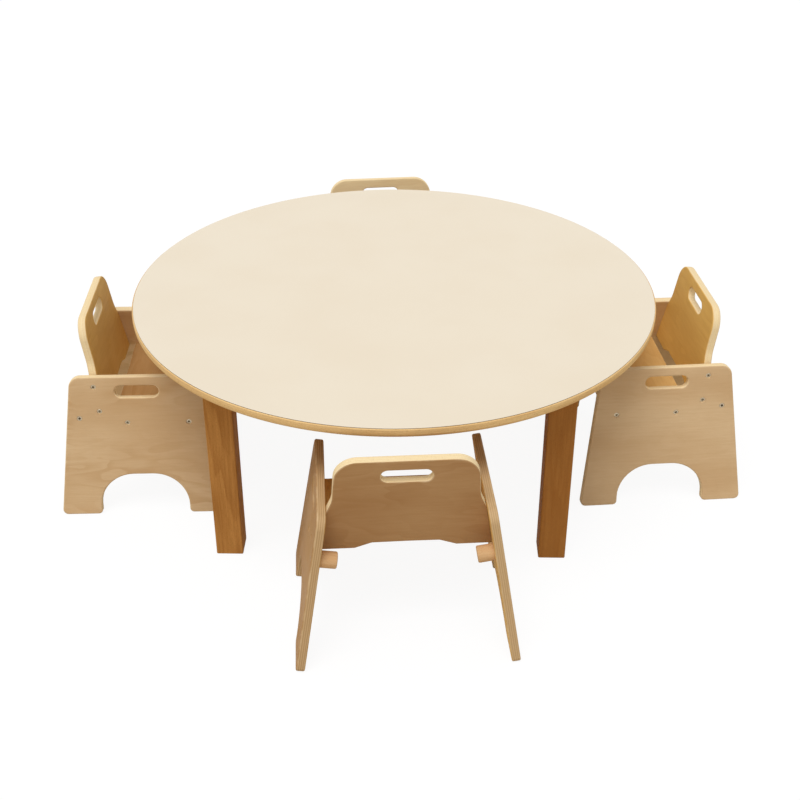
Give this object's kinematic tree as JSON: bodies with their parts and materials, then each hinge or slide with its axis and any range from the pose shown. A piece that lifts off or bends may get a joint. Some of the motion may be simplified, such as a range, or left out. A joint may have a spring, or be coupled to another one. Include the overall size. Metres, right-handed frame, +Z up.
{
  "type": "children's round table and chairs set",
  "caption": "Round nursery table with square legs and low splay-sided plywood chairs that have hand slots, arched sides and stacking pegs.",
  "frame": {"origin": "on the floor under the middle of the round table top", "axes": "+Z up; the table's legs stand on the diagonals of X and Y; the front chair is on the -Y side, the back chair on +Y, the left chair on -X and the right chair on +X"},
  "size_m": [1.333, 1.3047, 0.389],
  "materials": {
    "laminate": "satin high-pressure laminate, cream",
    "birch_ply": "clear lacquered birch plywood",
    "beech_lipping": "clear lacquered beech",
    "beech_leg": "clear lacquered steamed beech",
    "beech_peg": "clear lacquered beech dowel",
    "zinc_steel": "zinc plated steel"
  },
  "bodies": {
    "table": {"core_board": "birch_ply", "laminate": "laminate", "edge_lipping": "beech_lipping", "leg_front_left": "beech_leg", "leg_front_right": "beech_leg", "leg_back_left": "beech_leg", "leg_back_right": "beech_leg", "leg_plates": "zinc_steel", "leg_bolts": "zinc_steel", "plate_screws": "zinc_steel"},
    "front_chair": {"front_chair_left_side": "birch_ply", "front_chair_right_side": "birch_ply", "front_chair_seat": "birch_ply", "front_chair_back": "birch_ply", "front_chair_left_peg": "beech_peg", "front_chair_right_peg": "beech_peg", "front_chair_screws": "zinc_steel", "front_chair_peg_screws": "zinc_steel"},
    "left_chair": {"left_chair_left_side": "birch_ply", "left_chair_right_side": "birch_ply", "left_chair_seat": "birch_ply", "left_chair_back": "birch_ply", "left_chair_left_peg": "beech_peg", "left_chair_right_peg": "beech_peg", "left_chair_screws": "zinc_steel", "left_chair_peg_screws": "zinc_steel"},
    "right_chair": {"right_chair_left_side": "birch_ply", "right_chair_right_side": "birch_ply", "right_chair_seat": "birch_ply", "right_chair_back": "birch_ply", "right_chair_left_peg": "beech_peg", "right_chair_right_peg": "beech_peg", "right_chair_screws": "zinc_steel", "right_chair_peg_screws": "zinc_steel"},
    "back_chair": {"back_chair_left_side": "birch_ply", "back_chair_right_side": "birch_ply", "back_chair_seat": "birch_ply", "back_chair_back": "birch_ply", "back_chair_left_peg": "beech_peg", "back_chair_right_peg": "beech_peg", "back_chair_screws": "zinc_steel", "back_chair_peg_screws": "zinc_steel"}
  },
  "joints": [
    {"name": "front_chair_slide", "type": "slide", "parent": "table", "child": "front_chair", "axis": [0.0872, -0.9962, 0], "range_m": [-0.045, 0.25]},
    {"name": "left_chair_slide", "type": "slide", "parent": "table", "child": "left_chair", "axis": [-0.9985, -0.0541, 0], "range_m": [-0.075, 0.25]},
    {"name": "right_chair_slide", "type": "slide", "parent": "table", "child": "right_chair", "axis": [0.9945, 0.1045, 0], "range_m": [-0.09, 0.25]},
    {"name": "back_chair_slide", "type": "slide", "parent": "table", "child": "back_chair", "axis": [-0.1201, 0.9928, 0], "range_m": [-0.085, 0.25]}
  ]
}
